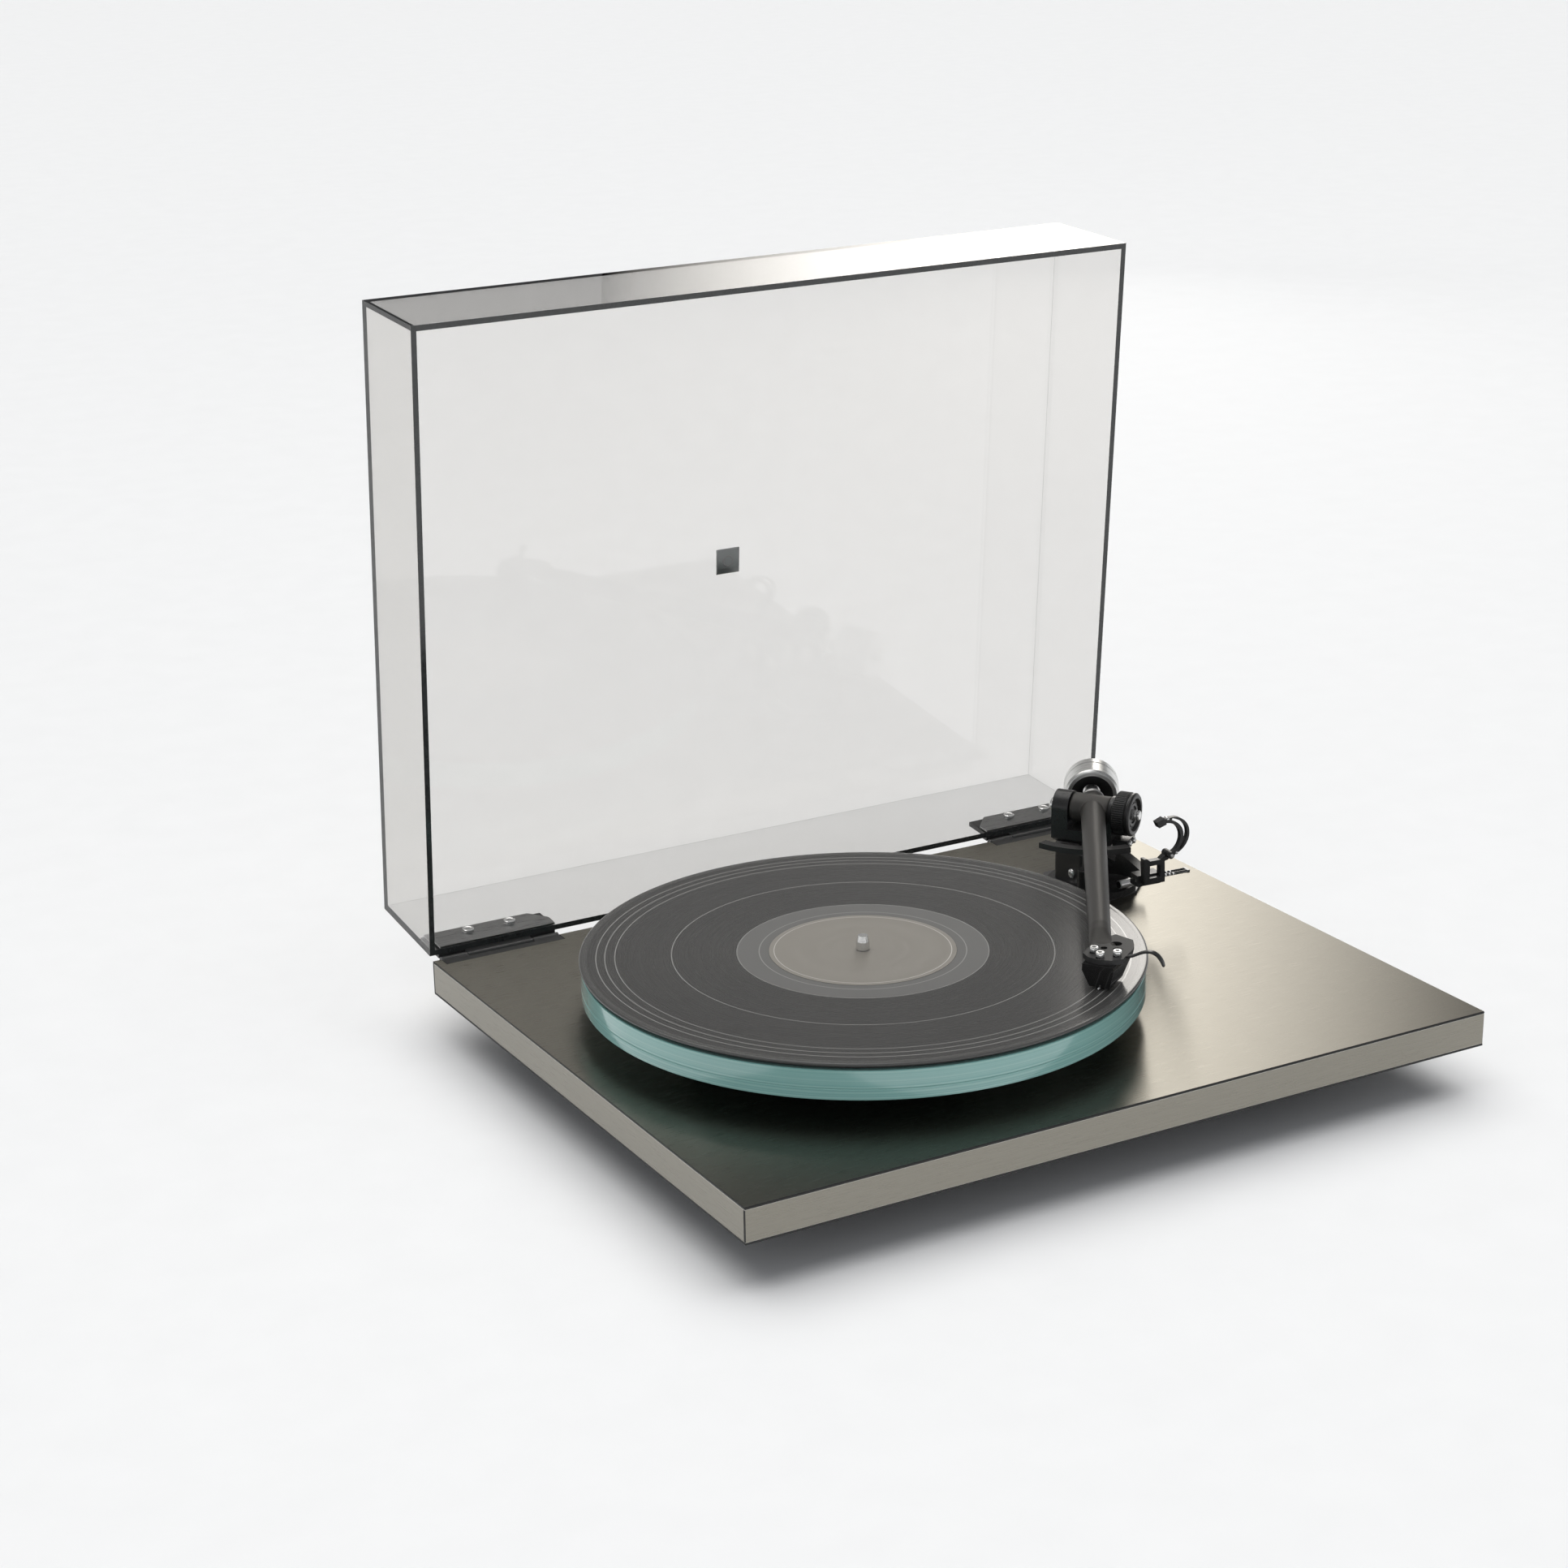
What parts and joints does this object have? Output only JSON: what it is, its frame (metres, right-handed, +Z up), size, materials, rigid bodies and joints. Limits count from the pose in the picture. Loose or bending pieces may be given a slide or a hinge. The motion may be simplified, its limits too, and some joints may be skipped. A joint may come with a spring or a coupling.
{
  "type": "turntable record player",
  "caption": "Belt-driven record player: slim plinth on feet, tinted glass platter with record, pivoted tone arm with cueing lift, hinged clear lid shown open.",
  "frame": {"origin": "centre of the bounding box in plan with the lid open, on the plane the feet stand on", "axes": "+X to the right along the front edge, +Y to the rear edge with the lid hinges, +Z up"},
  "size_m": [0.447, 0.4316, 0.4088],
  "materials": {
    "laminate": "brushed metallic laminate",
    "backing": "matt black laminate",
    "core": "sawn board",
    "brace_metal": "dark anodised",
    "bearing_brass": "turned",
    "dark_steel": "dull plated",
    "bright_steel": "polished",
    "black_rubber": "matt",
    "black_plastic": "moulded",
    "clamp_grey": "satin",
    "arm_black": "satin black",
    "arm_graphite": "satin graphite",
    "cartridge_black": "gloss",
    "pulley_metal": "turned",
    "clear_acrylic": "clear, dark edges",
    "badge_clear": "clear",
    "platter_glass": "green-tinted, polished",
    "felt": "felt",
    "vinyl": "grooved",
    "label_paper": "plain"
  },
  "bodies": {
    "plinth": {"arm_base": "arm_black", "arm_base_screws": "bright_steel", "arm_rest": "black_plastic", "brace_lower": "brace_metal", "brace_upper": "brace_metal", "drive_belt": "black_rubber", "edge_band_front": "laminate", "edge_band_left": "laminate", "edge_band_rear": "laminate", "edge_band_right": "laminate", "foot_front_left": "black_rubber", "foot_front_right": "black_rubber", "foot_rear": "black_rubber", "foot_screws": "bright_steel", "hinge_block_left": "black_plastic", "hinge_block_right": "black_plastic", "hinge_block_screws": "bright_steel", "hinge_pins": "bright_steel", "lead_bush": "black_plastic", "main_bearing": "bearing_brass", "motor_body": "dark_steel", "motor_plate": "dark_steel", "motor_screws": "bright_steel", "pivot_pins": "bright_steel", "plinth_bottom_skin": "backing", "plinth_core": "core", "plinth_top_skin": "laminate", "post_nuts": "bright_steel", "power_inlet": "black_plastic", "thrust_ball": "bright_steel"},
    "lid": {"lid_shell": "clear_acrylic", "hinge_leaf_left": "black_plastic", "hinge_leaf_right": "black_plastic", "hinge_clamps": "clamp_grey", "lid_screws": "bright_steel", "lid_badge": "badge_clear"},
    "platter": {"subplatter": "black_plastic", "spindle": "bright_steel", "platter_ring": "platter_glass", "platter_disc": "platter_glass", "mat": "felt", "record_disc": "vinyl", "record_label": "label_paper"},
    "pulley": {"motor_pulley": "pulley_metal"},
    "yoke": {"yoke": "arm_black", "yoke_screws": "bright_steel", "dial_bolt": "bright_steel"},
    "dial": {"force_dial": "black_plastic"},
    "arm": {"arm_tube": "arm_graphite", "pitch_axle": "bright_steel", "rear_stub": "bright_steel", "finger_lift": "arm_black", "cartridge": "cartridge_black", "stylus": "black_plastic", "cartridge_screws": "bright_steel"},
    "counterweight": {"counterweight": "bright_steel"},
    "cue_lever": {"cue_lever": "arm_black"},
    "lift": {"lift_platform": "black_plastic"},
    "bias_slider": {"bias_slider": "black_plastic"},
    "clip": {"arm_clip": "black_plastic"}
  },
  "joints": [
    {"name": "lid_hinge", "type": "hinge", "parent": "plinth", "child": "lid", "pos_m": [0, 0.14518, 0.0459], "axis": [1, 0, 0], "range_deg": [0, 86.2]},
    {"name": "platter_spin", "type": "hinge", "parent": "plinth", "child": "platter", "pos_m": [-0.0535, -0.03882, 0.0813], "axis": [0, 0, -1], "continuous": true},
    {"name": "pulley_spin", "type": "hinge", "parent": "plinth", "child": "pulley", "pos_m": [-0.12138, 0.02906, 0.0559], "axis": [0, 0, -1], "continuous": true},
    {"name": "arm_yaw", "type": "hinge", "parent": "plinth", "child": "yoke", "pos_m": [0.15198, 0.0452, 0.0968], "axis": [0, 0, 1], "range_deg": [-19.33, 29.25]},
    {"name": "arm_pitch", "type": "hinge", "parent": "yoke", "child": "arm", "pos_m": [0.15198, 0.0452, 0.0968], "axis": [-0.5649, 0.8251, 0], "range_deg": [0, 2.2]},
    {"name": "weight_slide", "type": "slide", "parent": "arm", "child": "counterweight", "axis": [-0.5534, -0.8329, 0], "range_m": [-0.003, 0.006]},
    {"name": "dial_turn", "type": "hinge", "parent": "yoke", "child": "dial", "pos_m": [0.16385, 0.02788, 0.0968], "axis": [0.5649, -0.8251, 0], "range_deg": [0, 270]},
    {"name": "cue_lever_swing", "type": "hinge", "parent": "plinth", "child": "cue_lever", "pos_m": [0.17048, 0.0372, 0.0615], "axis": [-1, 0, 0], "range_deg": [0, 45.5]},
    {"name": "lift_rise", "type": "slide", "parent": "plinth", "child": "lift", "axis": [0, 0, 1], "range_m": [0, 0.0018]},
    {"name": "bias_slide", "type": "slide", "parent": "plinth", "child": "bias_slider", "axis": [0.9971, -0.0759, 0], "range_m": [-0.008, 0.004]},
    {"name": "clip_swing", "type": "hinge", "parent": "plinth", "child": "clip", "pos_m": [0.15525, -0.02124, 0.0905], "axis": [-0.0759, -0.9971, 0], "range_deg": [0, 30]}
  ],
  "couplings": [
    {"joint": "pulley_spin", "follows": "platter_spin", "ratio": 6.4118},
    {"joint": "cue_lever_swing", "follows": "arm_pitch", "ratio": 20.455},
    {"joint": "lift_rise", "follows": "arm_pitch", "m_per_rad": 0.044274}
  ]
}
